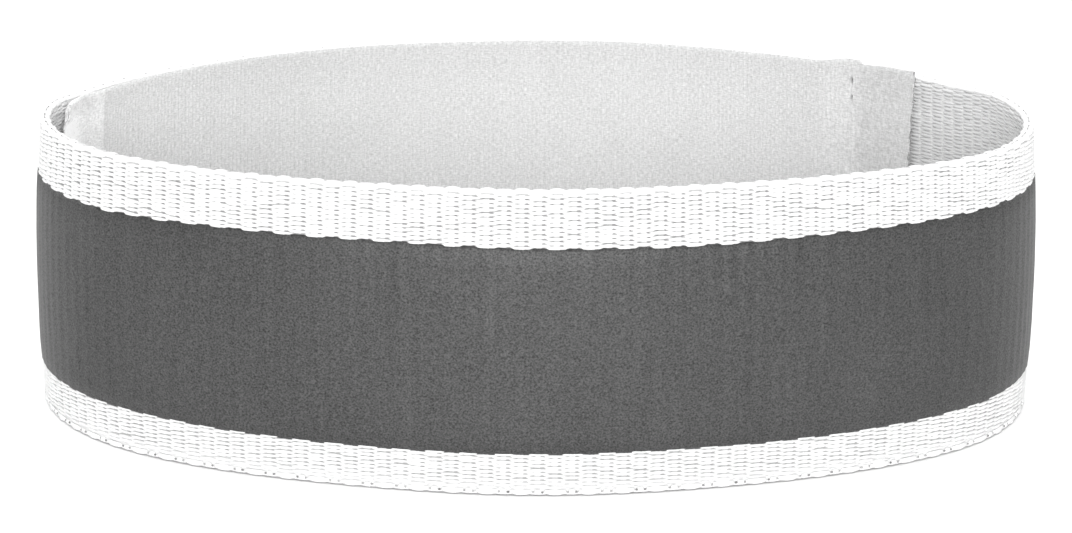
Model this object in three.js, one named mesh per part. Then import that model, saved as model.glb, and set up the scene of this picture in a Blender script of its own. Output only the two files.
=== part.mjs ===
// A reflective armband: white woven webbing closed into an oval loop, a grey reflective tape round
// its outer face, and a soft closing strip on the inside of the back, held by a hidden strip of hooks.
// Millimetres, +Z up. The band stands on its lower edge, and the origin is under its box's middle.
// Angles are in degrees round +Z, from +X on the right; the front is at 270.

import * as THREE from "three";

// The loop's outer face at mid height, and the webbing
const LOOP_HALF_WIDTH = 64.9;
const LOOP_HALF_DEPTH = 42.2;
const WEBBING_WIDTH = 38;
const WEBBING_THICKNESS = 1.6;
const SELVEDGE_ROUND = 0.4;

// How far the loop's outline departs from an oval, as shares of its radius
const OUTLINE_LOBES = [
  { lobes: 2, cosine: 0, sine: 0.0021 },
  { lobes: 3, cosine: 0.0008, sine: -0.0162 },
  { lobes: 4, cosine: 0.0013, sine: 0.0017 },
  { lobes: 5, cosine: 0.0001, sine: -0.0116 },
];

// How far the wall leans in at its two edges, from its widest height
const LEAN_TOP = 1.15;
const LEAN_BOTTOM = 0.18;

// The two cut ends of the webbing meet at the back right
const JOINT_ANGLE = 34.5;
const JOINT_GAP_ANGLE = 0.5;

// The reflective tape
const TAPE_WIDTH = 25.4;
const TAPE_BOTTOM = 5.7;
const TAPE_THICKNESS = 0.3;

// The strip of hooks on the inner face of the webbing's left end
const HOOK_START = 37;
const HOOK_END = 170.3;
const HOOK_THICKNESS = 0.6;
const HOOK_EDGE = 1;

// The closing strip: its sewn tail is at the right, its free end at the left
const STRIP_TAIL = 23;
const STRIP_TAIL_SLANT = 3.7;
const STRIP_SLANT_END = 30.5;
const SEAM_ANGLE = 31.8;
const STRIP_END = 180;
const STRIP_THICKNESS = 1;
const STRIP_BOTTOM = 0.5;
const STRIP_TOP = 38;
const STRIP_FALL_END = 174;
const FREE_END_LIFT = 0.2;

// The space left between two pieces that lie on each other
const CLEARANCE = 0.2;

// Fineness: the angle between sections, the rows of a wall, and the step that finds a tangent
const SECTION_ANGLE = 3;
const WALL_ROWS = 7;
const TANGENT_STEP = 0.1;

const radians = (degrees) => (degrees * Math.PI) / 180;

// From 0 to 1 as value goes from start to end, with no corner at either.
const ease = (value, start, end) => THREE.MathUtils.smoothstep(value, start, end);

// A curve through the lean at the bottom, none in the middle and the lean at the top.
const lean = (height) => {
  const share = height / (WEBBING_WIDTH / 2) - 1;
  const even = (LEAN_TOP + LEAN_BOTTOM) / 2;
  const odd = (LEAN_TOP - LEAN_BOTTOM) / 2;
  return even * share * share + odd * share;
};

// A point of the loop's outline, seen from above.
const outline = (degrees) => {
  const angle = radians(degrees);
  const slope = Math.hypot(LOOP_HALF_DEPTH * Math.cos(angle), LOOP_HALF_WIDTH * Math.sin(angle));
  const wave = OUTLINE_LOBES.reduce(
    (sum, row) => sum + row.cosine * Math.cos(row.lobes * angle) + row.sine * Math.sin(row.lobes * angle),
    1,
  );
  const radius = (LOOP_HALF_WIDTH * LOOP_HALF_DEPTH * wave) / slope;
  return new THREE.Vector2(radius * Math.cos(angle), radius * Math.sin(angle));
};

// A point at this depth inside the loop's outer face, measured square to the outline.
const onLoop = (degrees, height, depth) => {
  const along = outline(degrees + TANGENT_STEP).sub(outline(degrees - TANGENT_STEP)).normalize();
  const inward = new THREE.Vector2(-along.y, along.x);
  const point = outline(degrees).addScaledVector(inward, lean(height) + depth);
  return [point.x, point.y, height];
};

// The angles of the sections of a piece: its two ends, its own named angles and an even grid.
const sectionAngles = (start, end, named = []) => {
  const all = [start, end, ...named];
  for (let angle = Math.ceil(start / SECTION_ANGLE) * SECTION_ANGLE; angle < end; angle += SECTION_ANGLE) {
    all.push(angle);
  }
  const sorted = [...new Set(all)].sort((a, b) => a - b);
  return sorted.filter((angle, i) => i === 0 || angle === end || angle - sorted[i - 1] > 0.2);
};

// Rows of a wall from bottom to top.
const wallRows = (bottom, top, outer, inner) => {
  const rows = [];
  for (let row = 0; row < WALL_ROWS; row += 1) {
    rows.push({ height: bottom + (row / (WALL_ROWS - 1)) * (top - bottom), outer, inner });
  }
  return rows;
};

// The same with its corners cut off by the given amount.
const easedRows = (bottom, top, outer, inner, round) => [
  { height: bottom, outer: outer + round, inner: inner - round },
  ...wallRows(bottom + round, top - round, outer, inner),
  { height: top, outer: outer + round, inner: inner - round },
];

// A closed body swept round the loop. rowsAt gives the section's rows at an angle, and slant
// turns the section at the start, so that a cut end can lean.
const sweptWall = (angles, rowsAt, slant = () => 0) => {
  const positions = [];
  const indices = [];
  const sections = angles.map((angle) => {
    const rows = rowsAt(angle);
    const place = (depth, row) => {
      const share = row.height / WEBBING_WIDTH;
      positions.push(...onLoop(angle + slant(angle) * (0.5 - share), row.height, depth));
      return positions.length / 3 - 1;
    };
    const outer = rows.map((row) => place(row.outer, row));
    const inner = rows.map((row) => place(row.inner, row));
    return [...outer, ...inner.reverse()];
  });
  const size = sections[0].length;
  const quad = (a, b, c, d) => indices.push(a, b, c, a, c, d);
  for (let s = 0; s + 1 < sections.length; s += 1) {
    for (let i = 0; i < size; i += 1) {
      const j = (i + 1) % size;
      quad(sections[s][i], sections[s + 1][i], sections[s + 1][j], sections[s][j]);
    }
  }
  const first = sections[0];
  const last = sections[sections.length - 1];
  for (let i = 0; i + 1 < size / 2; i += 1) {
    const across = size - 1 - i;
    quad(first[i], first[i + 1], first[across - 1], first[across]);
    quad(last[across], last[across - 1], last[i + 1], last[i]);
  }
  const geometry = new THREE.BufferGeometry();
  geometry.setAttribute("position", new THREE.Float32BufferAttribute(positions, 3));
  geometry.setIndex(indices);
  geometry.computeVertexNormals();
  return geometry;
};

const named = (name, geometry, colour, roughness) => {
  const material = new THREE.MeshStandardMaterial({ color: colour, roughness, metalness: 0 });
  const mesh = new THREE.Mesh(geometry, material);
  mesh.name = name;
  return mesh;
};

// White webbing, all the way round but for the gap between its cut ends
const webbingBand = () => {
  const angles = sectionAngles(JOINT_ANGLE + JOINT_GAP_ANGLE, JOINT_ANGLE + 360);
  const rowsAt = () => easedRows(0, WEBBING_WIDTH, 0, WEBBING_THICKNESS, SELVEDGE_ROUND);
  return named("webbing_band", sweptWall(angles, rowsAt), 0xf4f4f4, 0.85);
};

// Grey tape along the outer face of the webbing
const reflectiveTape = () => {
  const angles = sectionAngles(JOINT_ANGLE + JOINT_GAP_ANGLE, JOINT_ANGLE + 360);
  const outer = -CLEARANCE - TAPE_THICKNESS;
  const rowsAt = () => wallRows(TAPE_BOTTOM, TAPE_BOTTOM + TAPE_WIDTH, outer, -CLEARANCE);
  return named("reflective_tape", sweptWall(angles, rowsAt), 0x6c6c6c, 0.6);
};

// Strip of hooks on the inner face of the webbing's left end
const hookPatch = () => {
  const outer = WEBBING_THICKNESS + CLEARANCE;
  const rowsAt = () => wallRows(HOOK_EDGE, WEBBING_WIDTH - HOOK_EDGE, outer, outer + HOOK_THICKNESS);
  return named("hook_patch", sweptWall(sectionAngles(HOOK_START, HOOK_END), rowsAt), 0xe6e6e6, 0.7);
};

// How deep inside the loop's outer face the closing strip's outer side lies: on the webbing at
// the tail, over the hooks along the back, and on the webbing again at the free end
const stripDepth = (angle) => {
  const onWebbing = WEBBING_THICKNESS + CLEARANCE;
  const overHooks = ease(angle, SEAM_ANGLE, HOOK_START) * (1 - ease(angle, HOOK_END, STRIP_FALL_END));
  const lift = FREE_END_LIFT * ease(angle, STRIP_FALL_END, STRIP_END);
  return onWebbing + (HOOK_THICKNESS + CLEARANCE) * overHooks + lift;
};

const closureStrip = () => {
  const angles = sectionAngles(STRIP_TAIL, STRIP_END, [
    STRIP_SLANT_END, SEAM_ANGLE, HOOK_START, HOOK_END, STRIP_FALL_END,
  ]);
  const rowsAt = (angle) => {
    const outer = stripDepth(angle);
    return wallRows(STRIP_BOTTOM, STRIP_TOP, outer, outer + STRIP_THICKNESS);
  };
  const slant = (angle) => STRIP_TAIL_SLANT * (1 - ease(angle, STRIP_TAIL, STRIP_SLANT_END));
  return named("closure_strip", sweptWall(angles, rowsAt, slant), 0xdcdcdc, 0.95);
};

const armband = new THREE.Group();
armband.add(webbingBand(), reflectiveTape(), hookPatch(), closureStrip());

const middle = new THREE.Box3().setFromObject(armband, true).getCenter(new THREE.Vector3());
armband.position.set(-middle.x, -middle.y, 0);

export default armband;
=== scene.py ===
import bpy
import numpy as np
from mathutils import Matrix, Vector

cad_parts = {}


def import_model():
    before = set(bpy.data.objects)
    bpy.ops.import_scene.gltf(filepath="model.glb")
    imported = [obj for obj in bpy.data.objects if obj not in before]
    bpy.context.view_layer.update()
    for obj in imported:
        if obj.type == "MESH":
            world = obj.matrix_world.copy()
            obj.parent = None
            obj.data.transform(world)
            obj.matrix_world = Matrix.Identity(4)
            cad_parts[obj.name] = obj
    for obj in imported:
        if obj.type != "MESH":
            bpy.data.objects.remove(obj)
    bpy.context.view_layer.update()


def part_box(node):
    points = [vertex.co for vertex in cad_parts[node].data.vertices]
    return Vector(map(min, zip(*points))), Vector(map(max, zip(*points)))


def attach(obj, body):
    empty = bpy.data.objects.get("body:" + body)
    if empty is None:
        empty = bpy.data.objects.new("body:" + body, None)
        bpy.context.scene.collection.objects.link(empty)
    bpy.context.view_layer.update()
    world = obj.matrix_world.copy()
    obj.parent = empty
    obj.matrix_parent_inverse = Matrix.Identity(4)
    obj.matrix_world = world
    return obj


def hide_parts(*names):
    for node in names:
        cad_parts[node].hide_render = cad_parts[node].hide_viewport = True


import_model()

# A reflective armband. Every surface is laid out flat first: how far along the band it lies from the
# middle of the front, how high, and how deep inside the loop's outer face. place() then wraps it.
MM = 0.001
SEED = 7

# Added to a fibre's side direction, so that it has one where the fibre points straight off the cloth
TINY = 1e-9

# The loop's outline at mid height, and how far it departs from an oval: a row for each lobe count,
# with its cosine and its sine as shares of the radius
LOOP_HALF_WIDTH = 64.9 * MM
LOOP_HALF_DEPTH = 42.2 * MM
OUTLINE_LOBES = ((2, 0, 0.0021), (3, 0.0008, -0.0162), (4, 0.0013, 0.0017), (5, 0.0001, -0.0116))
LEAN_TOP = 1.15 * MM
LEAN_BOTTOM = 0.18 * MM
TABLE_STEPS = 14400

# Where the wall stands fuller than the outline: how far right of the front's middle, over what
# length, and how much at the top edge and at the bottom
BULGES = ((62 * MM, 12 * MM, 1.0 * MM, 0.5 * MM), (-58 * MM, 9 * MM, 0.30 * MM, 0.15 * MM))

# How far the top edge sinks at the back: fully up to one distance from the back's middle, and not
# at all past the other
BACK_SAG = 0.68 * MM
SAG_FROM = 69 * MM
SAG_TO = 81 * MM
SAG_SHIFT = 4 * MM

# Where things are round the loop, in degrees from +X; the front is at 270
JOINT_ANGLE = 34.5
JOINT_GAP_ANGLE = 0.5
HOOK_START = 37.0
HOOK_END = 170.3
STRIP_TAIL = 23.0
STRIP_TAIL_SLANT = 3.7
STRIP_SLANT_END = 30.5
SEAM_ANGLE = 31.8
STRIP_END = 180.0
STRIP_FALL_END = 174.0

# Weave of the webbing: picks run up the band, and yarns float over them along the band
WEBBING_THICKNESS = 1.6 * MM
PICK_PITCH = 2.087 * MM
PICK_SHIFT = 0.45 * MM
ROW_PITCH = 0.524 * MM
YARN_ROWS = 71

# The body of the webbing, under its yarns. Where it shows between them it is painted darker, as
# painted shade in the gaps: outside, inside, in the lower half and among the edge loops
CORE_INSET = 0.34 * MM
INSIDE_CORE_INSET = 0.14 * MM
INSET_FROM_GAP = 0.3
OUTSIDE_GAP_SHADE = 0.40
INSIDE_GAP_SHADE = 0.87
LOWER_GAP_SHADE = 0.52
LOOP_GAP_SHADE = 0.95
LOOP_ZONE = 1.3 * MM
# A thin line along the very bottom edge is painted dark: painted shadow where the band stands on the floor
UNDERSIDE_SHADOW_TONE = 0.2
UNDERSIDE_ZONE = 0.12 * MM
WALL_FROM_EDGE_ROWS = 1 * MM
WALL_SAMPLES = 9
SAMPLES_PER_PICK = 6

# Its edge, from its outermost line inwards: the distance from the edge in millimetres, the share of
# the full thickness, or None where it is inset, and how near its painted shade is to that of the gaps
EDGE_ROWS = (
    (0.0, 0.22, 0.0), (0.005, 0.45, 0.0), (0.04, 0.66, 0.0), (0.10, 0.84, 0.0), (0.18, 0.95, 0.0),
    (0.28, 0.97, 0.0), (0.36, 0.90, 0.1), (0.44, None, 0.3), (1.10, None, 1.0),
)

# The edge thins on its inner side at the top, swells over each pick and dips between two
EDGE_ZONE = 1.2 * MM
TOP_THINNER = 0.35 * MM
PICK_ROUNDNESS = 2.4
DIP_BETWEEN = 0.09 * MM
DIP_UNTURNED = 0.08 * MM
LOWER_DIP_SHARE = 0.4
SWELL_OVER = 0.20 * MM
SWELL_OVER_MEAN = 0.7
SWELL_TURNING = 0.12 * MM
SWELL_TURNING_MEAN = 0.5

# A short yarn's shape. Its rings run from end to end, each with its share of the half length, its
# half height, its fullness and how far it is sunk. The tips say how deep the two ends are sunk.
# Outside, a yarn leaves a strong gap on its right and a faint one on its left.
OUTSIDE_YARN = dict(
    rings=(
        (-0.60, 0.195 * MM, 0.80, 0.080 * MM),
        (-0.50, 0.222 * MM, 0.92, 0.020 * MM),
        (-0.32, 0.246 * MM, 0.97, 0.005 * MM),
        (-0.16, 0.300 * MM, 1.0, 0.0),
        (0.13, 0.300 * MM, 1.0, 0.0),
        (0.22, 0.204 * MM, 0.95, 0.010 * MM),
        (0.54, 0.188 * MM, 0.80, 0.050 * MM),
    ),
    tips=(0.52 * MM, 0.34 * MM),
    sides=5,
    thick=0.20 * MM,
)
INSIDE_YARN = dict(
    rings=(
        (-0.60, 0.175 * MM, 0.80, 0.070 * MM),
        (-0.28, 0.235 * MM, 0.95, 0.010 * MM),
        (-0.02, 0.290 * MM, 1.0, 0.0),
        (0.27, 0.225 * MM, 0.95, 0.010 * MM),
        (0.58, 0.175 * MM, 0.80, 0.060 * MM),
    ),
    tips=(0.40 * MM, 0.36 * MM),
    sides=4,
    thick=0.09 * MM,
)
# The inner yarns lean a little, are more uneven, and are painted darker than the outer yarns, as painted
# shade inside the loop
INSIDE_TILT = -0.03 * MM
INSIDE_SHADED_TONE = 0.83
INSIDE_UNEVEN = 1.8

# Loops of the knitted lower edge, and small dark beads between them that stand in for the shade
# in the holes there: painted shade
LOOP_YARN = dict(
    rings=(
        (-0.88, 0.27 * MM, 0.8, 0.08 * MM),
        (-0.5, 0.38 * MM, 1.0, 0.0),
        (0.5, 0.38 * MM, 1.0, 0.0),
        (0.88, 0.27 * MM, 0.8, 0.08 * MM),
    ),
    tips=(0.30 * MM, 0.30 * MM),
    sides=6,
    thick=0.18 * MM,
)
HOLE_SHADOW_BEAD = dict(
    rings=((-0.5, 0.13 * MM, 1.0, 0.0), (0.5, 0.13 * MM, 1.0, 0.0)),
    tips=(0.05 * MM, 0.05 * MM),
    sides=6,
    thick=0.10 * MM,
)
SHORT_LOOP = 0.54 * MM
LOOP_GAP = 0.10 * MM
LOOP_LIFT = 0.04 * MM
EDGE_LOOP_HEIGHT = 0.50 * MM
LOOP_PLACE_SPREAD = 0.04 * MM
LOOP_HEIGHT_SPREAD = 0.02 * MM
HOLE_HALF_LONG = 0.19 * MM
HOLE_SIZES = (0.7, 1.1)
HOLE_SHADOW_TONES = (0.2, 0.6)
HOLE_PLACE_SPREAD = 0.03 * MM

# The yarns' measures, and how much each differs from yarn to yarn
FLOAT_HALF_LONG = 1.75 * MM
FLOAT_LIFT = -0.02 * MM
STAGGER_ROWS = 0.25
PICK_SPREAD = 0.015
HEIGHT_SPREAD = 0.022 * MM
SCALE_SPREAD = 0.085
SCALE_LEAST = 0.80
SCALE_MOST = 1.16
TILT_SPREAD = 0.014 * MM
LIFT_SPREAD = 0.012 * MM
LENGTH_SPREAD = 0.03
TONE_SPREAD = 0.015
TONE_LEAST = 0.95
TONE_MOST = 1.04

# Rows of yarns on the outside below and above the tape, and how full the yarns of each part are
ROWS_BELOW_TAPE = np.arange(1, 10)
ROWS_ABOVE_TAPE = np.arange(59, YARN_ROWS)
MIDDLE_ROW = YARN_ROWS // 2
LOWER_FULLNESS = 0.85
UPPER_FULLNESS = 0.95
INSIDE_FULLNESS = 1.08
PICKS_BEHIND_STRIP = 2

# Reflective tape: its two edges are tucked under the webbing's yarns
TAPE_OUTER = -0.05 * MM
TAPE_THICKNESS = 0.14 * MM
TAPE_UNDER_YARNS = 0.30 * MM
TAPE_TUCK = 0.26 * MM
TAPE_TUCK_WIDE = 0.45 * MM
TAPE_TUCK_ROWS = (0.0, 0.25, 0.5, 0.75)
TAPE_ROWS = 14
TAPE_SAMPLES_PER_PICK = 5

# The picks' ribs in the tape, and how their strength differs
TAPE_RELIEF = 0.06 * MM
RIB_STRENGTH_SPREAD = 0.45
RIB_STRENGTHS = 200

# How the tape's two edges waver: the length of a wave, its size, and where it is highest
TOP_WAVES = ((88 * MM, 0.20 * MM, -27 * MM), (26 * MM, 0.04 * MM, 36 * MM), (9 * MM, 0.025 * MM, 2 * MM))
BOTTOM_WAVES = ((150 * MM, 0.16 * MM, 75 * MM), (61 * MM, 0.05 * MM, 10 * MM), (11 * MM, 0.025 * MM, 0.0))
TOP_LOWERED = 0.32 * MM

# Strip of hooks. A hook's bends give how far it leans along the band and how far it stands off
HOOK_BACKING_CLEARANCE = 0.08 * MM
HOOK_BACKING_THICKNESS = 0.25 * MM
HOOK_BACKING_TONE = 0.95
HOOK_BACKING_STATIONS = 260
HOOK_BACKING_ROWS = 12
HOOK_FIRST = (1.0 * MM, 0.8 * MM)
HOOK_MARGIN = 0.5 * MM
HOOK_SPACING = (2.1 * MM, 1.6 * MM)
HOOK_PLACE_SPREAD = 0.1 * MM
HOOK_ROOT = 0.3 * MM
HOOK_RADIUS = 0.09 * MM
HOOK_BENDS = ((0.0, 0.0), (0.05 * MM, 0.35 * MM), (0.25 * MM, 0.5 * MM), (0.45 * MM, 0.38 * MM))

# Knitted closing strip
STRIP_THICKNESS = 1.0 * MM
STRIP_END_THICKNESS = 0.26 * MM
STRIP_TAPER = 2.5 * MM
STRIP_CLEARANCE = 0.12 * MM
HOOK_LAYER = 0.8 * MM
RIB_PITCH = 0.645 * MM
RIB_SAMPLES = 3
RIB_RELIEF = 0.05 * MM
# Painted shade in the ribs' troughs
RIB_SHADE = 0.06
UNWORN_RIB_SHARE = 0.25
NAP = 0.022 * MM
RAGGED = 0.14 * MM
TOP_EDGE_THICKNESS = 0.30 * MM
TOP_EDGE_WIDE = 1.2 * MM
BOTTOM_EDGE_THINNER = 0.15 * MM
BOTTOM_EDGE_WIDE = 0.25 * MM

# Its two cut ends stand off the webbing, the free one most at its top corner
TAIL_CURL = 0.40 * MM
FREE_END_CURL = 1.08 * MM
CURL_BELOW_CORNER = 0.45
CURLED_CORNER = (34.8 * MM, 35.8 * MM)
TAIL_PAST_SLANT = 0.3 * MM

# Its top edge: a low hump at the back, a climb to the seam, a step down past it, and a climb to
# the tail's end. The last three lie between two distances from the seam.
STRIP_TOP_LOWERED = 0.42 * MM
HUMP_HIGH = 0.30 * MM
HUMP_ASIDE = 7 * MM
HUMP_LONG = 16 * MM
SEAM_CLIMB = 0.75 * MM
SEAM_CLIMB_BETWEEN = (0.3 * MM, 6 * MM)
SEAM_STEP = 0.50 * MM
SEAM_STEP_BETWEEN = (-1.80 * MM, -1.40 * MM)
TAIL_CLIMB = 0.30 * MM
TAIL_CLIMB_BETWEEN = (-6 * MM, -1.8 * MM)

# The seam: a groove beside it, and needle holes that lean a little; both are painted darker, as painted
# shade in them
GROOVE_ASIDE = 0.65 * MM
GROOVE_WIDE = 0.28 * MM
GROOVE_DEEP = 0.05 * MM
GROOVE_SHADE = 0.02
STITCH_HEIGHTS = (36.0 * MM, 33.3 * MM)
NEEDLE_HALF_WIDE = 0.20 * MM
NEEDLE_HALF_HIGH = 0.27 * MM
NEEDLE_DEEP = 0.55 * MM
NEEDLE_LEAN = 0.12
NEEDLE_SHADE = 0.75

# Rows and stations of the strip's mesh: closer together from a share of its height upwards, round
# the needle holes, at the seam and at the two ends
CLOSE_ROWS_FROM = 0.6
ROWS_UP_TO_CLOSE = 18
CLOSE_ROWS = 26
ROWS_ROUND_HOLE = np.array((-0.36, -0.18, 0.0, 0.18, 0.36)) * MM
LEAST_ROW_STEP = 0.08 * MM
STATIONS_ROUND_SEAM = np.arange(-0.7, 0.71, 0.1) * MM
STATIONS_AT_ENDS = np.array((0.15, 0.35, 0.6)) * MM
LEAST_STATION_STEP = 0.06 * MM

# Shades of the strip, with how far from the back's middle, the seam or the hooks' end they lie
# A little darker at the back left
BACK_LEFT_DARKER = 0.03
BACK_LEFT_ASIDE = 30 * MM
BACK_LEFT_LONG = 25 * MM
# Painted light: lighter towards the hooks' end, where the strip is lit more
HOOK_END_LIGHT_TONE = 1.085
HOOK_END_LIGHT_FROM = 40 * MM
# Past the hooks' end a lighter step, partly the untouched nap and partly painted light, then painted light
# that climbs to the free end
UNTOUCHED_NAP_AND_LIGHT_STEP = 0.14
UNTOUCHED_NAP_AND_LIGHT_STEP_LONG = 0.6 * MM
FREE_END_LIGHT_CLIMB = 0.48
FREE_END_LIGHT_CLIMB_FROM = 2 * MM
TAIL_TONE = 0.91
TAIL_TONE_BETWEEN = (-2 * MM, -1 * MM)
RIBS_WORN_PAST_SEAM = 3 * MM
RIBS_WORN_PAST_HOOKS = 1 * MM
# The free end's top corner is painted a little darker, against the painted light there
FREE_CORNER_SHADE = 0.14
FREE_CORNER_LONG = 3 * MM
FREE_CORNER_HEIGHTS = (34.0 * MM, 37.0 * MM)
# Painted shade on the faces of the two cut ends, and a painted highlight along the tail's cut edge
CUT_END_SHADE_TONE = 0.35
TAIL_END_GLEAM = 0.12
TAIL_END_BETWEEN = (0.5 * MM, 0.2 * MM)

# Fibres that stand out of its cut ends
FIBRES_PER_END = 420
FIBRE_RADIUS = 0.028 * MM
FIBRE_TONE = 1.08
FIBRE_BOTTOM_MARGIN = 0.2 * MM
FIBRE_TOP_MARGIN = 0.4 * MM
FIBRE_ROOT = 0.15 * MM
FIBRE_DEPTHS = np.array((0.05, 0.35)) * MM
FIBRE_LENGTH = 0.22 * MM
FIBRE_LENGTH_SPREAD = 0.12 * MM
FIBRE_DRIFT_SPREAD = 0.16 * MM
FIBRE_DROP_SPREAD = 0.08 * MM
FIBRE_STEPS = (0.0, 0.5, 1.0, 1.4)

# Brightness of the materials, the tape's gloss, and between what values most of a noise lies
NOISE_LOW = 0.3
NOISE_HIGH = 0.7
YARN_WHITE = 0.86
TAPE_GREY = 0.036
TAPE_GLOSS = 0.69
KNIT_WHITE = 0.645
HOOK_WHITE = 0.70

# Floor, light and camera. Each lamp has a name, a place and a size in metres, and a power in watts
WHITE_FLOOR = 0.92
FLOOR_SIZE = 8
ROOM_LIGHT = 0.44
LAMPS = (
    ("key", (0.02, -1.30, 0.45), 0.6, 14.5),
    ("overhead", (0.0, 0.1, 1.6), 1.0, 16),
    ("back_left", (-0.98, 0.78, 0.65), 0.5, 4.5),
    ("back_right", (0.98, 0.78, 0.65), 0.5, 3.2),
)
CAMERA_FAR = 371.4 * MM
CAMERA_UP_ANGLE = np.radians(17.03)
CAMERA_ROLL = 0.0064
CAMERA_NEAREST = 10 * MM
SENSOR_WIDE = 36
FOCAL_PIXELS = 2800.8
FRAME_WIDE_PIXELS = 1072
FRAME_HIGH_PIXELS = 533
LOOP_MIDDLE_PIXEL = (535.5, 243.5)

webbing_low, webbing_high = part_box("webbing_band")
tape_low, tape_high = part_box("reflective_tape")
strip_low, strip_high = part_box("closure_strip")
hook_low, hook_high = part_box("hook_patch")
WIDTH = webbing_high.z
SELVEDGE = (WIDTH - YARN_ROWS * ROW_PITCH) / 2


def outline(angle):
    """The loop's outer face at mid height, seen from above, about its own centre."""
    wave = sum(c * np.cos(n * angle) + s * np.sin(n * angle) for n, c, s in OUTLINE_LOBES)
    slope = np.hypot(LOOP_HALF_DEPTH * np.cos(angle), LOOP_HALF_WIDTH * np.sin(angle))
    radius = LOOP_HALF_WIDTH * LOOP_HALF_DEPTH * (1 + wave) / slope
    return radius * np.cos(angle), radius * np.sin(angle)


# The outline as a table along the band, once round from the middle of the front
TABLE_DEGREES = np.linspace(-90, 270, TABLE_STEPS + 1)
TABLE_X, TABLE_Y = outline(np.radians(TABLE_DEGREES))
STEP_X, STEP_Y = np.gradient(TABLE_X), np.gradient(TABLE_Y)
STEP = np.hypot(STEP_X, STEP_Y)
INWARD_X, INWARD_Y = -STEP_Y / STEP, STEP_X / STEP
TABLE_ALONG = np.concatenate([[0], np.cumsum(np.hypot(np.diff(TABLE_X), np.diff(TABLE_Y)))])
AROUND = TABLE_ALONG[-1]
BACK_MIDDLE = AROUND / 2
CENTRE_X = (webbing_low.x + webbing_high.x - TABLE_X.min() - TABLE_X.max()) / 2
CENTRE_Y = (webbing_low.y + webbing_high.y - TABLE_Y.min() - TABLE_Y.max()) / 2


def along_at(degrees):
    """How far along the band an angle lies, up to one turn from the middle of the front."""
    return np.interp(np.mod(degrees + 90, 360) - 90, TABLE_DEGREES, TABLE_ALONG)


def lean(height):
    """How far the wall leans in at a height: none in the middle, most at the top."""
    share = height / (WIDTH / 2) - 1
    even = (LEAN_TOP + LEAN_BOTTOM) / 2
    odd = (LEAN_TOP - LEAN_BOTTOM) / 2
    return even * share * share + odd * share


def bulge(along, height):
    """How much fuller the wall stands than the outline."""
    aside = np.mod(along + BACK_MIDDLE, AROUND) - BACK_MIDDLE
    share = height / WIDTH
    return sum((low + (high - low) * share) * bell(aside - middle, long)
               for middle, long, high, low in BULGES)


def bell(distance, wide, power=2):
    """From 1 at no distance to 0 far off, through 0.37 at the given width. A higher power makes
    its sides steeper."""
    return np.exp(-(distance / wide) ** power)


def ease(value, start, end):
    """From 0 to 1 as the value goes from start to end, with no corner at either."""
    t = np.clip((value - start) / (end - start), 0, 1)
    return t * t * (3 - 2 * t)


def sag(along):
    """How far the top edge sinks at a place along the band."""
    from_back = np.abs(np.mod(along, AROUND) - BACK_MIDDLE - SAG_SHIFT)
    return BACK_SAG * (1 - ease(from_back, SAG_FROM, SAG_TO))


def place(along, height, depth):
    """Points in the frame, from places on the flat cloth."""
    where = np.mod(along, AROUND)
    inset = lean(height) - bulge(along, height) + depth
    x = CENTRE_X + np.interp(where, TABLE_ALONG, TABLE_X) + inset * np.interp(where, TABLE_ALONG, INWARD_X)
    y = CENTRE_Y + np.interp(where, TABLE_ALONG, TABLE_Y) + inset * np.interp(where, TABLE_ALONG, INWARD_Y)
    return stacked(x, y, height * (1 - sag(along) / WIDTH))


def stacked(*columns):
    """Points from their three columns, which can be arrays of one shape or single values."""
    return np.stack(np.broadcast_arrays(*columns), axis=-1)


BAND_START = along_at(JOINT_ANGLE + JOINT_GAP_ANGLE)
BAND_END = along_at(JOINT_ANGLE) + AROUND
BAND_LENGTH = BAND_END - BAND_START
HOOKS_FROM, HOOKS_TO = along_at(HOOK_START), along_at(HOOK_END)
TAIL_ALONG, STRIP_END_ALONG = along_at(STRIP_TAIL), along_at(STRIP_END)
SLANT_END_ALONG, FALL_END_ALONG = along_at(STRIP_SLANT_END), along_at(STRIP_FALL_END)
SEAM_ALONG = along_at(SEAM_ANGLE)
FIRST_PICK = AROUND + PICK_SHIFT

# Flat pieces: each is (along, height, depth, faces, tone), and several are joined into one mesh


def joined(name, parts):
    """One mesh from flat parts, wrapped round the loop. It keeps each point's flat place and its
    tone, for the materials."""
    columns = []
    for index in (0, 1, 2, 4):
        whole = [np.broadcast_to(part[index], part[1].shape).reshape(-1) for part in parts]
        columns.append(np.concatenate(whole))
    along, height, depth, tone = columns
    firsts = np.cumsum([0] + [part[1].size for part in parts])
    faces = []
    for part, first in zip(parts, firsts):
        faces += [np.asarray(group, np.int32) + first for group in part[3]]
    mesh = bpy.data.meshes.new(name)
    corners = np.concatenate([f.reshape(-1) for f in faces]).astype(np.int32)
    sizes = np.concatenate([np.full(len(f), f.shape[1], np.int32) for f in faces])
    starts = np.concatenate([[0], np.cumsum(sizes)[:-1]]).astype(np.int32)
    points = place(along, height, depth)
    mesh.vertices.add(len(points))
    mesh.vertices.foreach_set("co", points.astype(np.float32).reshape(-1))
    mesh.loops.add(len(corners))
    mesh.loops.foreach_set("vertex_index", corners)
    mesh.polygons.add(len(sizes))
    mesh.polygons.foreach_set("loop_start", starts)
    mesh.polygons.foreach_set("loop_total", sizes)
    mesh.polygons.foreach_set("use_smooth", np.ones(len(sizes), bool))
    flat = mesh.attributes.new("flat_place", "FLOAT_VECTOR", "POINT")
    flat.data.foreach_set("vector", stacked(along, height, depth).astype(np.float32).reshape(-1))
    shade = mesh.attributes.new("tone", "FLOAT", "POINT")
    shade.data.foreach_set("value", tone.astype(np.float32))
    mesh.update(calc_edges=True)
    mesh.validate()
    piece = bpy.data.objects.new(name, mesh)
    bpy.context.scene.collection.objects.link(piece)
    return piece


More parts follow.
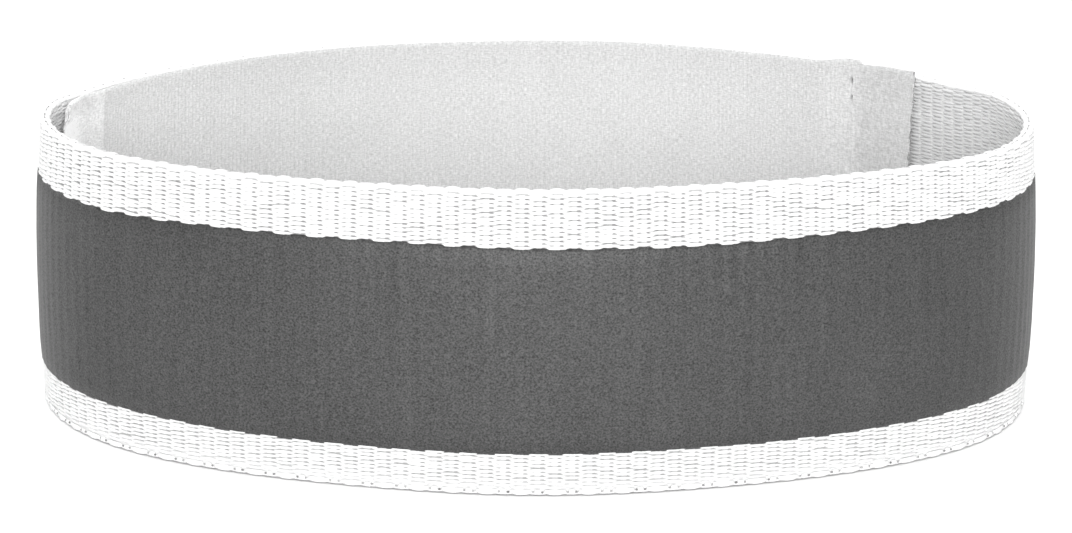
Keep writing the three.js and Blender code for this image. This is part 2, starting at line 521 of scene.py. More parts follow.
def wall(along, height, outer, inner, tone=1.0, inner_tone=None):
    """A closed wall from rows of stations: its outer side from bottom to top, its inner side back."""
    inner_tone = tone if inner_tone is None else inner_tone
    along, height, outer, inner, tone, inner_tone = np.broadcast_arrays(
        along, height, outer, inner, tone, inner_tone)
    stations, rows = height.shape
    index = np.arange(stations * rows * 2).reshape(stations, rows * 2)
    here, there = index[:-1], index[1:]
    around, beyond = np.roll(here, -1, axis=1), np.roll(there, -1, axis=1)
    sides = np.stack([here, there, beyond, around], -1).reshape(-1, 4)
    near = np.arange(rows - 1)
    across = 2 * rows - 1 - near
    first = np.stack([index[0][near], index[0][near + 1], index[0][across - 1], index[0][across]], -1)
    last = np.stack([index[-1][across], index[-1][across - 1], index[-1][near + 1], index[-1][near]], -1)
    back = slice(None, None, -1)
    along, height = (np.concatenate([a, a[:, back]], axis=1) for a in (along, height))
    depth = np.concatenate([outer, inner[:, back]], axis=1)
    tone = np.concatenate([tone, inner_tone[:, back]], axis=1)
    return along, height, depth, [sides, first, last], tone


def copied(faces, count, size):
    """The faces of one small body, in groups, repeated for the count of bodies, each of size points."""
    base = (np.arange(count) * size)[:, None, None]
    return [(base + group[None]).reshape(-1, group.shape[1]) for group in faces]


def pillows(yarn, along, height, half_long, scale, tilt, lift, tone, outward):
    """Short yarns that rise from the cloth and dive back: one for each row of the column arrays."""
    rings, tips, sides = yarn["rings"], yarn["tips"], yarn["sides"]
    place_along, up, out = [-1.0], [0.0], [-tips[0]]
    for share, high, full, sunk in rings:
        for turn in np.linspace(0, 2 * np.pi, sides, endpoint=False):
            place_along.append(share)
            up.append(high * np.sin(turn))
            out.append(full * yarn["thick"] * (np.cos(turn) - 1) - sunk)
    place_along.append(1.0)
    up.append(0.0)
    out.append(-tips[1])
    place_along, up, out = (np.array(values)[None, :] for values in (place_along, up, out))
    corner = along + place_along * half_long
    rise = height + up * scale + tilt * place_along
    depth = -(out + lift)
    if not outward:
        depth = WEBBING_THICKNESS - depth
    ring = np.arange(sides)
    after = np.roll(ring, -1)
    end = 1 + len(rings) * sides
    last = end - sides
    faces = [stacked(0, 1 + ring, 1 + after), stacked(end, last + after, last + ring)]
    for b in 1 + sides * np.arange(len(rings) - 1):
        faces.append(stacked(b + ring, b + sides + ring, b + sides + after, b + after))
    if not outward:
        faces = [f[:, ::-1] for f in faces]
    return corner, rise, depth, copied(faces, len(along), end + 1), np.broadcast_to(tone, rise.shape)


def strands(paths, radius, tone):
    """Three-sided fibres along paths of flat places, closed at the root and pointed at the tip."""
    count, steps, _ = paths.shape
    run = np.gradient(paths, axis=1)
    run /= np.linalg.norm(run, axis=2, keepdims=True)
    side = np.cross(run, (0.0, 0.0, 1.0)) + TINY
    side /= np.linalg.norm(side, axis=2, keepdims=True)
    other = np.cross(run, side)
    rings = [paths[:, :-1] + radius * (np.cos(t) * side + np.sin(t) * other)[:, :-1]
             for t in np.radians((0, 120, 240))]
    rings = np.stack(rings, axis=2).reshape(count, -1, 3)
    points = np.concatenate([rings, paths[:, -1:]], axis=1)
    ring, after = np.arange(3), np.array((1, 2, 0))
    tip = 3 * (steps - 1)
    faces = [np.array([[0, 1, 2]])]
    for b in 3 * np.arange(steps - 2):
        faces.append(stacked(b + ring, b + 3 + ring, b + 3 + after, b + after))
    faces.append(stacked(tip - 3 + ring, tip, tip - 3 + after))
    faces = copied(faces, count, tip + 1)
    return points[..., 0], points[..., 1], points[..., 2], faces, np.broadcast_to(tone, points.shape[:2])


def finished(piece, material, slot, *nodes):
    """The piece with its material, hung under the root body, with the CAD parts that it stands for hidden.
    """
    piece.data.materials.append(material)
    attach(piece, "root")
    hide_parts(*nodes)
    return piece


# Materials


def principled(name, roughness, sheen=0.0, specular=0.5):
    material = bpy.data.materials.new(name)
    material.use_nodes = True
    shader = material.node_tree.nodes["Principled BSDF"]
    shader.inputs["Roughness"].default_value = roughness
    shader.inputs["Sheen Weight"].default_value = sheen
    shader.inputs["Sheen Roughness"].default_value = 0.5
    shader.inputs["Specular IOR Level"].default_value = specular
    return material, shader


def new_node(material, kind, **settings):
    node = material.node_tree.nodes.new(kind)
    for key, value in settings.items():
        setattr(node, key, value)
    return node


def join(material, source, target):
    material.node_tree.links.new(source, target)


def noise(material, per_mm, detail=2.0, roughness=0.5):
    """Noise on the flat cloth, finer the more waves per millimetre it has each way."""
    flat = new_node(material, "ShaderNodeAttribute", attribute_name="flat_place")
    scale = new_node(material, "ShaderNodeVectorMath", operation="MULTIPLY")
    scale.inputs[1].default_value = [s / MM for s in per_mm]
    join(material, flat.outputs["Vector"], scale.inputs[0])
    node = new_node(material, "ShaderNodeTexNoise")
    node.inputs["Scale"].default_value = 1.0
    node.inputs["Detail"].default_value = detail
    node.inputs["Roughness"].default_value = roughness
    join(material, scale.outputs["Vector"], node.inputs["Vector"])
    return node.outputs["Fac"]


def math_node(material, operation, first, second):
    """A sum or product, whose second value can be a plain number."""
    node = new_node(material, "ShaderNodeMath", operation=operation)
    for socket, value in zip(node.inputs, (first, second)):
        if isinstance(value, float):
            socket.default_value = value
        else:
            join(material, value, socket)
    return node.outputs["Value"]


def ranged(material, source, low, high):
    """The middle of a noise spread from low to high."""
    node = new_node(material, "ShaderNodeMapRange", clamp=False)
    node.inputs["From Min"].default_value = NOISE_LOW
    node.inputs["From Max"].default_value = NOISE_HIGH
    node.inputs["To Min"].default_value = low
    node.inputs["To Max"].default_value = high
    join(material, source, node.inputs["Value"])
    return node.outputs["Result"]


def product(material, *factors):
    total = factors[0]
    for factor in factors[1:]:
        total = math_node(material, "MULTIPLY", total, factor)
    return total


def grey(material, value, shader):
    """A value as the shader's base colour."""
    node = new_node(material, "ShaderNodeCombineColor")
    for socket in node.inputs[:3]:
        join(material, value, socket)
    join(material, node.outputs["Color"], shader.inputs["Base Color"])


def bumped(material, shader, height, strength, distance):
    node = new_node(material, "ShaderNodeBump")
    node.inputs["Strength"].default_value = strength
    node.inputs["Distance"].default_value = distance
    join(material, height, node.inputs["Height"])
    join(material, node.outputs["Normal"], shader.inputs["Normal"])


def tone_of(material):
    """The tone that a mesh's points carry."""
    return new_node(material, "ShaderNodeAttribute", attribute_name="tone").outputs["Fac"]


def yarn_material():
    """White polyester yarn: fine filaments along the band, each yarn with a shade of its own."""
    material, shader = principled("white_yarn", 0.75, specular=0.3)
    filaments = noise(material, (1.2, 20.0, 20.0), detail=2.0)
    slow = noise(material, (0.12, 0.25, 0.25), detail=1.0)
    shade = product(material, ranged(material, filaments, 0.97, 1.02), ranged(material, slow, 0.985, 1.01),
                    tone_of(material), YARN_WHITE)
    grey(material, shade, shader)
    bumped(material, shader, filaments, strength=0.3, distance=0.02 * MM)
    return material


def tape_material():
    """Grey reflective cloth: a fine speckle of glass beads, and faint streaks up the picks. Its
    gloss varies with the speckle."""
    material, shader = principled("reflective_grey", 0.6, sheen=0.03, specular=TAPE_GLOSS)
    beads = noise(material, (4.0, 4.4, 3.0), detail=2.0, roughness=0.6)
    streaks = noise(material, (0.8, 0.05, 1.0), detail=3.0, roughness=0.6)
    slow = noise(material, (0.07, 0.05, 0.1), detail=1.0)
    speckle = product(material, ranged(material, beads, 0.5, 1.5), ranged(material, streaks, 0.94, 1.06),
                      ranged(material, slow, 0.96, 1.04), tone_of(material))
    grey(material, product(material, speckle, TAPE_GREY), shader)
    join(material, product(material, speckle, TAPE_GLOSS), shader.inputs["Specular IOR Level"])
    bumped(material, shader, beads, strength=0.3, distance=0.02 * MM)
    return material


def knit_material():
    """White loop fabric: a short nap of threads that lie both ways over fine ribs."""
    material, shader = principled("loop_fabric", 0.95, sheen=0.1, specular=0.2)
    upright = noise(material, (5.0, 1.4, 2.0), detail=1.0, roughness=0.6)
    lying = noise(material, (1.7, 5.6, 2.0), detail=1.0, roughness=0.6)
    slow = noise(material, (0.25, 0.18, 0.2), detail=2.0)
    threads = math_node(material, "ADD", upright, lying)
    shade = product(material, ranged(material, upright, 0.90, 1.10), ranged(material, lying, 0.86, 1.14),
                    ranged(material, slow, 0.985, 1.015), tone_of(material), KNIT_WHITE)
    grey(material, shade, shader)
    bumped(material, shader, threads, strength=0.5, distance=0.08 * MM)
    return material


def hook_material():
    """Off-white plastic with a faint grain."""
    material, shader = principled("hook_plastic", 0.45)
    grain = noise(material, (3.0, 3.0, 3.0))
    shade = product(material, ranged(material, grain, 0.95, 1.05), tone_of(material), HOOK_WHITE)
    grey(material, shade, shader)
    bumped(material, shader, grain, strength=0.2, distance=0.03 * MM)
    return material


YARN = yarn_material()
TAPE = tape_material()
KNIT = knit_material()
HOOK = hook_material()

# Webbing


def pick_at(along):
    """How many picks along the band a place is: a pick's middle is a whole number, and the picks
    whose weft turns round the top edge are odd."""
    return (along - FIRST_PICK) / PICK_PITCH


def bump_at(along):
    """From 0 between two picks to 1 over a pick, and how much of a turning pick it is."""
    pick = pick_at(along)
    over = 1 - np.abs(2 * (pick - np.round(pick))) ** PICK_ROUNDNESS
    turning = np.sin(np.pi * pick / 2) ** 2
    return over, turning


def near_edge(distance):
    """From 1 at an edge of the webbing to 0 where its zone ends."""
    return np.clip(1 - distance / EDGE_ZONE, 0, 1)


def thinner(height):
    """How much thinner the webbing is at a height, on its inner side."""
    return TOP_THINNER * near_edge(WIDTH - height)


def webbing_core():
    """The body of the webbing: a wall that the yarns float on, whose round edges swell over each
    pick where the weft turns back."""
    stations = int(BAND_LENGTH / PICK_PITCH) * SAMPLES_PER_PICK
    along = np.linspace(BAND_START, BAND_END, stations + 1)[:, None]
    half = WEBBING_THICKNESS / 2
    rise = np.array([row[0] for row in EDGE_ROWS]) * MM
    full = np.array([row[1] or 1 - CORE_INSET / half for row in EDGE_ROWS])
    gap = np.array([row[2] for row in EDGE_ROWS])
    lowest = rise[-1] + WALL_FROM_EDGE_ROWS
    middle = np.linspace(lowest, WIDTH - lowest, WALL_SAMPLES)
    height = np.concatenate([rise, middle, WIDTH - rise[::-1]])[None, :]
    wide = half * np.concatenate([full, np.full(WALL_SAMPLES, full[-1]), full[::-1]])[None, :]
    gap = np.concatenate([gap, np.ones(WALL_SAMPLES), gap[::-1]])[None, :]
    # Painted shade in the gaps between the yarns, lighter in the lower half and among the edge loops
    gap_shade = np.where(height < WIDTH / 2, LOWER_GAP_SHADE, OUTSIDE_GAP_SHADE)
    gap_shade = np.where(height < LOOP_ZONE, LOOP_GAP_SHADE, gap_shade)
    # Painted shadow along the very bottom edge
    shade = np.where(height < UNDERSIDE_ZONE, UNDERSIDE_SHADOW_TONE, 1.0)
    over, turning = bump_at(along)
    near_top = near_edge(WIDTH - height)
    near_bottom = near_edge(height)
    thin = thinner(height)
    dip = DIP_BETWEEN * (1 - over) + DIP_UNTURNED * (1 - turning)
    height = height - near_top * dip + near_bottom * LOWER_DIP_SHARE * dip
    swell = SWELL_OVER * (over - SWELL_OVER_MEAN) + SWELL_TURNING * (turning - SWELL_TURNING_MEAN)
    wide = wide + np.maximum(near_top, near_bottom) * swell
    less_inset = (CORE_INSET - INSIDE_CORE_INSET) * np.clip(gap / INSET_FROM_GAP, 0, 1)
    inner = half + wide - thin + less_inset
    tone = shade * (1 - gap * (1 - gap_shade))
    inner_tone = shade * (1 - gap * (1 - INSIDE_GAP_SHADE))
    return wall(along, height, half - wide, inner, tone, inner_tone)


def floats(start, end, rows, outward, seed, fullness, follow=None):
    """The yarns of some rows between two places: each floats over one pick, and the next pick's
    yarns lie half a row higher or lower. They can follow an edge of the tape, given as its waver,
    its height and the height that stays where it is."""
    yarn = OUTSIDE_YARN if outward else INSIDE_YARN
    # Inside, the yarns are painted darker, as painted shade inside the loop
    mean_tilt, mean_tone, uneven = (0.0, 1.0, 1.0) if outward else (INSIDE_TILT, INSIDE_SHADED_TONE, INSIDE_UNEVEN)
    rng = np.random.default_rng(seed)
    picks = np.arange(np.ceil(pick_at(start)), np.floor(pick_at(end)) + 1)
    pick, row = (a.reshape(-1, 1) for a in np.meshgrid(picks, rows, indexing="ij"))
    shape = pick.shape
    along = FIRST_PICK + (pick + rng.normal(0, PICK_SPREAD, shape)) * PICK_PITCH
    stagger = STAGGER_ROWS * (1 - 2 * (pick % 2))
    height = SELVEDGE + (row + 0.5 + stagger) * ROW_PITCH
    height = height + rng.normal(0, HEIGHT_SPREAD * uneven, shape)
    if follow:
        edge_waver, edge_height, still_height = follow
        height = height + edge_waver(along) * (height - still_height) / (edge_height - still_height)
    scale = np.clip(rng.normal(1, SCALE_SPREAD * uneven, shape), SCALE_LEAST, SCALE_MOST * uneven)
    tilt = rng.normal(mean_tilt, TILT_SPREAD, shape)
    lift = FLOAT_LIFT + rng.normal(0, LIFT_SPREAD, shape)
    half_long = FLOAT_HALF_LONG * rng.normal(1, LENGTH_SPREAD, shape)
    tone = mean_tone * np.clip(rng.normal(1, TONE_SPREAD, shape), TONE_LEAST, TONE_MOST)
    along, height, depth, faces, tone = pillows(
        yarn, along, height, half_long, fullness * scale, tilt, lift, tone, outward)
    if not outward:
        depth = depth - thinner(height)
    return np.clip(along, start, end), height, depth, faces, tone


def edge_loops(outward, seed):
    """The loops of the knitted lower edge: a short one at each even pick, a long one at each odd."""
    rng = np.random.default_rng(seed)
    picks = np.arange(np.ceil(pick_at(BAND_START)) + 1, np.floor(pick_at(BAND_END)))[:, None]
    shape = picks.shape
    half_long = np.where(picks % 2 == 0, SHORT_LOOP, PICK_PITCH - SHORT_LOOP) - LOOP_GAP
    along = FIRST_PICK + picks * PICK_PITCH + rng.normal(0, LOOP_PLACE_SPREAD, shape)
    height = EDGE_LOOP_HEIGHT + rng.normal(0, LOOP_HEIGHT_SPREAD, shape)
    return pillows(LOOP_YARN, along, height, half_long, scale=1.0, tilt=0.0, lift=LOOP_LIFT, tone=1.0,
                   outward=outward)


def loop_holes(seed):
    """The holes at both ends of each short loop, as small dark beads sunk between them: painted shade."""
    rng = np.random.default_rng(seed)
    first, last = np.ceil(pick_at(BAND_START)) + 1, np.floor(pick_at(BAND_END))
    picks = np.arange(first + first % 2, last, 2)
    middles = FIRST_PICK + picks * PICK_PITCH
    along = np.concatenate([middles - SHORT_LOOP, middles + SHORT_LOOP])[:, None]
    shape = along.shape
    along = along + rng.normal(0, HOLE_PLACE_SPREAD, shape)
    height = EDGE_LOOP_HEIGHT + rng.normal(0, LOOP_HEIGHT_SPREAD, shape)
    half_long = HOLE_HALF_LONG * rng.uniform(*HOLE_SIZES, shape)
    tone = rng.uniform(*HOLE_SHADOW_TONES, shape)
    return pillows(HOLE_SHADOW_BEAD, along, height, half_long, scale=1.0, tilt=0.0, lift=0.0, tone=tone,
                   outward=True)


def waver(along, waves):
    return sum(size * np.cos(2 * np.pi * (along - AROUND - top) / length) for length, size, top in waves)


def top_waver(along):
    """How far above the frame's straight edge the tape's top edge lies, or below it where less than 0."""
    return waver(along, TOP_WAVES) - TOP_LOWERED


def bottom_waver(along):
    """The same for its bottom edge."""
    return waver(along, BOTTOM_WAVES)


def outside_yarns(rows, seed, fullness, follow):
    return floats(BAND_START, BAND_END, rows, True, seed, fullness, follow)


def inside_yarns(rows, seed):
    """The inner yarns, from just before the closing strip's free end, by the front, to the joint.
    The strip hides the rest of the inner side, so it has none."""
    start = STRIP_END_ALONG - PICKS_BEHIND_STRIP * PICK_PITCH
    return floats(start, BAND_END, rows, False, seed, INSIDE_FULLNESS)


lower_outside = [
    outside_yarns(ROWS_BELOW_TAPE, SEED + 1, LOWER_FULLNESS, (bottom_waver, tape_low.z, 0.0)),
    edge_loops(True, SEED + 2),
    edge_loops(False, SEED + 3),
    loop_holes(SEED + 11),
]
upper_outside = [outside_yarns(ROWS_ABOVE_TAPE, SEED + 4, UPPER_FULLNESS, (top_waver, tape_high.z, WIDTH))]
lower_inside = [inside_yarns(np.arange(MIDDLE_ROW), SEED + 5)]
upper_inside = [inside_yarns(np.arange(MIDDLE_ROW, YARN_ROWS), SEED + 6)]
band = finished(joined("webbing_band", [webbing_core()]), YARN, "webbing", "webbing_band")
yarns = [
    finished(joined(name, parts), YARN, "webbing", "webbing_band")
    for name, parts in (
        ("webbing_yarns_outside_low", lower_outside),
        ("webbing_yarns_outside_high", upper_outside),
        ("webbing_yarns_inside_low", lower_inside),
        ("webbing_yarns_inside_high", upper_inside),
    )
]

# Tape


def rib_strengths(pick, rows):
    """How strong the rib of each place's pick is, up its height, evened out over three rows."""
    rng = np.random.default_rng(SEED + 7)
    strength = rng.normal(1, RIB_STRENGTH_SPREAD, (RIB_STRENGTHS, rows))
    strength = (strength + np.roll(strength, 1, 1) + np.roll(strength, 2, 1)) / 3
    return strength[(pick[:, 0] - pick.min()).astype(int)]


def reflective_tape():
    """The tape takes a faint rib from each pick, some more than others, and its two edges are
    tucked under the yarns next to it."""
    stations = int(BAND_LENGTH / PICK_PITCH) * TAPE_SAMPLES_PER_PICK
    along = np.linspace(BAND_START, BAND_END, stations + 1)[:, None]
    low = tape_low.z - TAPE_UNDER_YARNS + bottom_waver(along)
    high = tape_high.z + TAPE_UNDER_YARNS + top_waver(along)
    tuck_rows = TAPE_TUCK_WIDE / (tape_high.z - tape_low.z) * np.array(TAPE_TUCK_ROWS)
    middle = np.linspace(tuck_rows[-1], 1 - tuck_rows[-1], TAPE_ROWS)[1:-1]
    share = np.concatenate([tuck_rows, middle, 1 - tuck_rows[::-1]])[None, :]
    height = low + share * (high - low)
    pick = pick_at(along)
    nearest = np.round(pick)
    crown = np.cos(np.pi * (pick - nearest)) ** 2
    rib = TAPE_RELIEF * crown * rib_strengths(nearest, share.size)
    edge = np.minimum(height - low, high - height)
    tuck = TAPE_TUCK * (1 - ease(edge, 0, TAPE_TUCK_WIDE))
    outer = TAPE_OUTER - rib + tuck
    return wall(along, height, outer, outer + TAPE_THICKNESS)


tape = finished(joined("reflective_tape", [reflective_tape()]), TAPE, "tape", "reflective_tape")

# Hooks


def hook_backing():
    """The flat strip that carries the hooks."""
    along = np.linspace(HOOKS_FROM, HOOKS_TO, HOOK_BACKING_STATIONS)[:, None]
    height = np.linspace(hook_low.z, hook_high.z, HOOK_BACKING_ROWS)[None, :]
    outer = WEBBING_THICKNESS + HOOK_BACKING_CLEARANCE
    return wall(along, height, outer, outer + HOOK_BACKING_THICKNESS, HOOK_BACKING_TONE)


def hook_field():
    """Small hooks in rows on the strip, each leaning one way."""
    rng = np.random.default_rng(SEED + 8)
    columns = np.arange(HOOKS_FROM + HOOK_FIRST[0], HOOKS_TO - HOOK_MARGIN, HOOK_SPACING[0])
    levels = np.arange(hook_low.z + HOOK_FIRST[1], hook_high.z - HOOK_MARGIN, HOOK_SPACING[1])
    along, height = (a.reshape(-1) for a in np.meshgrid(columns, levels, indexing="ij"))
    along = along + rng.normal(0, HOOK_PLACE_SPREAD, along.shape)
    root = WEBBING_THICKNESS + HOOK_ROOT
    paths = np.stack([stacked(along + over, height, root + off) for over, off in HOOK_BENDS], axis=1)
    return strands(paths, HOOK_RADIUS, 1.0)


hooks = finished(joined("hook_patch", [hook_backing(), hook_field()]), HOOK, "hooks", "hook_patch")

# Closing strip


def over_hooks(along):
    """From 0 where the closing strip lies on the webbing to 1 where it lies on the hooks."""
    return ease(along, SEAM_ALONG, HOOKS_FROM) * (1 - ease(along, HOOKS_TO, FALL_END_ALONG))


def strip_ends(along):
    """From 0 along the strip to 1 at its sewn tail's end, and the same at its free end."""
    tail = 1 - ease(along, TAIL_ALONG, TAIL_ALONG + STRIP_TAPER)
    free = ease(along, STRIP_END_ALONG - STRIP_TAPER, STRIP_END_ALONG)
    return tail, free


def strip_outer(along, height):
    """How deep the strip's outer side lies. Its two cut ends stand off the webbing a little, the
    free end most at its top corner."""
    tail, free = strip_ends(along)
    corner = CURL_BELOW_CORNER + (1 - CURL_BELOW_CORNER) * ease(height, *CURLED_CORNER)
    off = TAIL_CURL * tail + FREE_END_CURL * free * corner
    return WEBBING_THICKNESS + STRIP_CLEARANCE + HOOK_LAYER * over_hooks(along) + off


def strip_top(along):
    """The strip's top edge stands highest at the seam, and steps down past it towards the tail."""
    off_seam = along - SEAM_ALONG
    hump = HUMP_HIGH * bell(along - BACK_MIDDLE + HUMP_ASIDE, HUMP_LONG)
    climb = SEAM_CLIMB * (1 - ease(off_seam, *SEAM_CLIMB_BETWEEN))
    step = SEAM_STEP * (1 - ease(off_seam, *SEAM_STEP_BETWEEN))
    tail_climb = TAIL_CLIMB * (1 - ease(off_seam, *TAIL_CLIMB_BETWEEN))
    return strip_high.z - STRIP_TOP_LOWERED + hump + climb - step + tail_climb + sag(along)


def strip_rows():
    """Heights as shares of the strip's own, closer together near the top and at the needle holes."""
    span = strip_high.z - strip_low.z
    lower = np.linspace(0, CLOSE_ROWS_FROM, ROWS_UP_TO_CLOSE)
    upper = np.linspace(CLOSE_ROWS_FROM, 1, CLOSE_ROWS)[1:]
    round_holes = [(hole + ROWS_ROUND_HOLE - strip_low.z) / span for hole in STITCH_HEIGHTS]
    return spaced([lower, upper, *round_holes], LEAST_ROW_STEP / span)[None, :]


def strip_stations():
    """Places along the strip: even ones on the ribs, and close ones at the seam and the two ends."""
    even = np.arange(TAIL_ALONG, STRIP_END_ALONG, RIB_PITCH / RIB_SAMPLES)
    at_tail = TAIL_ALONG + STATIONS_AT_ENDS
    at_free_end = STRIP_END_ALONG - STATIONS_AT_ENDS
    places = [even, SEAM_ALONG + STATIONS_ROUND_SEAM, at_tail, at_free_end, [STRIP_END_ALONG]]
    return spaced(places, LEAST_STATION_STEP)[:, None]


def spaced(groups, least):
    """Values in order, without those that follow the one before by less than the least step."""
    values = np.sort(np.concatenate(groups))
    keep = np.concatenate([[True], np.diff(values) > least])
    return values[keep]


def strip_shades(along):
    """The strip's slow change of shade: a little darker at the back left, painted light towards the
    hooks' end, a lighter step past it that is partly the untouched nap and partly painted light,
    painted light that climbs to its free end, and darker over the tail."""
    # A little darker at the back left
    amount = 1 - BACK_LEFT_DARKER * bell(along - BACK_MIDDLE - BACK_LEFT_ASIDE, BACK_LEFT_LONG)
    # Painted light: lighter towards the hooks' end, where the strip is lit more
    hook_end_light = 1 + (HOOK_END_LIGHT_TONE - 1) * ease(along, BACK_MIDDLE + HOOK_END_LIGHT_FROM, HOOKS_TO)
    # A lighter step past the hooks' end, partly the untouched nap and partly painted light, then painted
    # light that climbs to the free end
    nap_and_light = 1 + UNTOUCHED_NAP_AND_LIGHT_STEP * ease(along, HOOKS_TO, HOOKS_TO + UNTOUCHED_NAP_AND_LIGHT_STEP_LONG)
    nap_and_light = nap_and_light + FREE_END_LIGHT_CLIMB * ease(along, HOOKS_TO + FREE_END_LIGHT_CLIMB_FROM, STRIP_END_ALONG)
    tail = 1 + (TAIL_TONE - 1) * (1 - ease(along - SEAM_ALONG, *TAIL_TONE_BETWEEN))
    return amount * hook_end_light * nap_and_light * tail


def rib_share_at(along):
    """How strong the strip's ribs are: full between the seam and the hooks' end, where its nap is rubbed
    down.
    """
    amount = ease(along, SEAM_ALONG, SEAM_ALONG + RIBS_WORN_PAST_SEAM)
    amount = amount * (1 - ease(along, HOOKS_TO, HOOKS_TO + RIBS_WORN_PAST_HOOKS))
    return UNWORN_RIB_SHARE + (1 - UNWORN_RIB_SHARE) * amount


def needle_hole(off_seam, height, hole):
    """From 0 round a needle hole to 1 in it."""
    aside = off_seam - NEEDLE_LEAN * (height - hole)
    return bell(aside, NEEDLE_HALF_WIDE, 4) * bell(height - hole, NEEDLE_HALF_HIGH, 4)


def tail_shift(height):
    """How far the tail's slanting end lies from where it would be if it were upright."""
    per_degree = along_at(STRIP_TAIL + 1) - TAIL_ALONG
    return STRIP_TAIL_SLANT * per_degree * (0.5 - height / WIDTH) + TAIL_PAST_SLANT


def closure_strip():
    """The strip: ribs and a nap on its inner side, thin edges, a seam and two ragged cut ends."""
    rng = np.random.default_rng(SEED + 9)
    along = strip_stations()
    height = strip_low.z + strip_rows() * (strip_top(along) - strip_low.z)
    lies_at = strip_outer(along, height)
    thick = STRIP_THICKNESS - (STRIP_THICKNESS - STRIP_END_THICKNESS) * sum(strip_ends(along))
    top_edge = 1 - ease(strip_top(along) - height, 0, TOP_EDGE_WIDE)
    outer = lies_at + np.maximum(thick - TOP_EDGE_THICKNESS, 0) * top_edge
    rib = np.cos(2 * np.pi * (along - TAIL_ALONG) / RIB_PITCH)
    rib_share = rib_share_at(along)
    inner = lies_at + thick + RIB_RELIEF * rib * rib_share + rng.normal(0, NAP, height.shape)
    inner = inner - BOTTOM_EDGE_THINNER * (1 - ease(height - strip_low.z, 0, BOTTOM_EDGE_WIDE))
    off_seam = along - SEAM_ALONG
    groove = bell(off_seam + GROOVE_ASIDE, GROOVE_WIDE)
    inner = inner - GROOVE_DEEP * groove
    # Painted shade in the ribs' troughs and in the groove beside the seam
    tone = 1 - RIB_SHADE * rib_share * (1 - rib) / 2 - GROOVE_SHADE * groove
    # Painted shade in the needle holes
    for hole in STITCH_HEIGHTS:
        pit = needle_hole(off_seam, height, hole)
        inner = inner - NEEDLE_DEEP * pit
        tone = tone * (1 - NEEDLE_SHADE * pit)
    # The free end's top corner is painted a little darker, against the painted light there
    free_corner = ease(along, HOOKS_TO, HOOKS_TO + FREE_CORNER_LONG) * ease(height, *FREE_CORNER_HEIGHTS)
    tone = tone * strip_shades(along) * (1 - FREE_CORNER_SHADE * free_corner)
    tail_end = ease(along - TAIL_ALONG, *TAIL_END_BETWEEN)
    along = along + tail_shift(height) * (1 - ease(along, TAIL_ALONG, SLANT_END_ALONG))
    along[[0, -1]] += rng.normal(0, RAGGED, (2, height.shape[1]))
    # Painted shade on the two cut ends' faces below the top edge, and a painted highlight along the tail's
    # cut edge on its inner side
    outer_tone = tone.copy()
    outer_tone[[0, -1]] *= 1 + (CUT_END_SHADE_TONE - 1) * (1 - top_edge[[0, -1]])
    return wall(along, height, outer, inner, outer_tone, tone * (1 + TAIL_END_GLEAM * tail_end))


def frayed_fibres():
    """Short fibres that stand out of the strip's two cut ends."""
    rng = np.random.default_rng(SEED + 10)
    parts = []
    for end, shift, direction in ((TAIL_ALONG, tail_shift, -1), (STRIP_END_ALONG, np.zeros_like, 1)):
        count = FIBRES_PER_END
        height = rng.uniform(strip_low.z + FIBRE_BOTTOM_MARGIN, strip_high.z - FIBRE_TOP_MARGIN, count)
        start = end + shift(height) - direction * FIBRE_ROOT
        root = strip_outer(end, height) + rng.uniform(*FIBRE_DEPTHS, count)
        long = np.abs(rng.normal(FIBRE_LENGTH, FIBRE_LENGTH_SPREAD, count))
        drift = rng.normal(0, FIBRE_DRIFT_SPREAD, count)
        drop = rng.normal(0, FIBRE_DROP_SPREAD, count)
        steps = [stacked(start + direction * long * s, height + drift * s * s, root + drop * s)
                 for s in FIBRE_STEPS]
        parts.append(strands(np.stack(steps, axis=1), FIBRE_RADIUS, FIBRE_TONE))
    return parts


strip = finished(joined("closure_strip", [closure_strip()]), KNIT, "loop_fabric", "closure_strip")
fibres = joined("closure_strip_fibres", frayed_fibres())
frayed_ends = finished(fibres, KNIT, "loop_fabric", "closure_strip")

# Floor, light and camera


def floor():
    bpy.ops.mesh.primitive_plane_add(size=FLOOR_SIZE)
    plane = bpy.context.active_object
    plane.name = "floor"
    material, shader = principled("pale_floor", 0.9, specular=0.1)
    shader.inputs["Base Color"].default_value = (WHITE_FLOOR, WHITE_FLOOR, WHITE_FLOOR, 1)
    plane.data.materials.append(material)


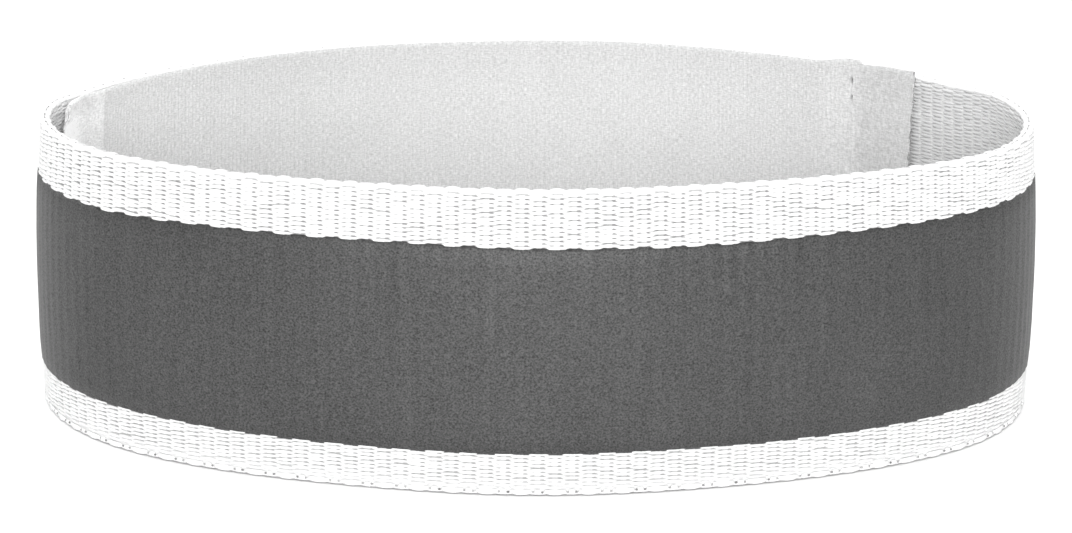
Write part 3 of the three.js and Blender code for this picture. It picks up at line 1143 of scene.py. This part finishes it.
def world():
    """An even white light from all round."""
    surroundings = bpy.data.worlds.new("white_room")
    surroundings.use_nodes = True
    background = surroundings.node_tree.nodes["Background"]
    background.inputs["Color"].default_value = (1, 1, 1, 1)
    background.inputs["Strength"].default_value = ROOM_LIGHT
    bpy.context.scene.world = surroundings


def camera():
    """The camera as found from the photograph, turned to the loop's middle. The middle doesn't lie
    in the middle of the frame, so the camera aims beside it."""
    middle = Vector((CENTRE_X, CENTRE_Y, WIDTH / 2))
    back = Vector((0, -np.cos(CAMERA_UP_ANGLE), np.sin(CAMERA_UP_ANGLE)))
    up = Vector((0, np.sin(CAMERA_UP_ANGLE), np.cos(CAMERA_UP_ANGLE)))
    pixel = CAMERA_FAR / FOCAL_PIXELS
    aside = (FRAME_WIDE_PIXELS / 2 - LOOP_MIDDLE_PIXEL[0]) * pixel
    above = (LOOP_MIDDLE_PIXEL[1] - FRAME_HIGH_PIXELS / 2) * pixel
    eye = middle + back * CAMERA_FAR
    aim = middle + Vector((1, 0, 0)) * aside + up * above
    data = bpy.data.cameras.new("camera")
    data.sensor_width = SENSOR_WIDE
    data.lens = FOCAL_PIXELS * SENSOR_WIDE / FRAME_WIDE_PIXELS
    data.clip_start = CAMERA_NEAREST
    holder = bpy.data.objects.new("camera", data)
    facing = (aim - eye).to_track_quat("-Z", "Y").to_matrix()
    facing = facing @ Matrix.Rotation(CAMERA_ROLL, 3, "Z")
    holder.matrix_world = Matrix.Translation(eye) @ facing.to_4x4()
    bpy.context.scene.collection.objects.link(holder)
    bpy.context.scene.camera = holder


def soft_light(name, place_at, size, power):
    """A round soft lamp that looks at the middle of the band."""
    data = bpy.data.lights.new(name, "AREA")
    data.shape = "DISK"
    data.size = size
    data.energy = power
    lamp = bpy.data.objects.new(name, data)
    lamp.location = place_at
    aim = Vector((0, 0, WIDTH / 2)) - Vector(place_at)
    lamp.rotation_euler = aim.to_track_quat("-Z", "Y").to_euler()
    bpy.context.scene.collection.objects.link(lamp)


floor()
world()
camera()
for lamp_row in LAMPS:
    soft_light(*lamp_row)
bpy.context.scene.view_settings.view_transform = "Standard"
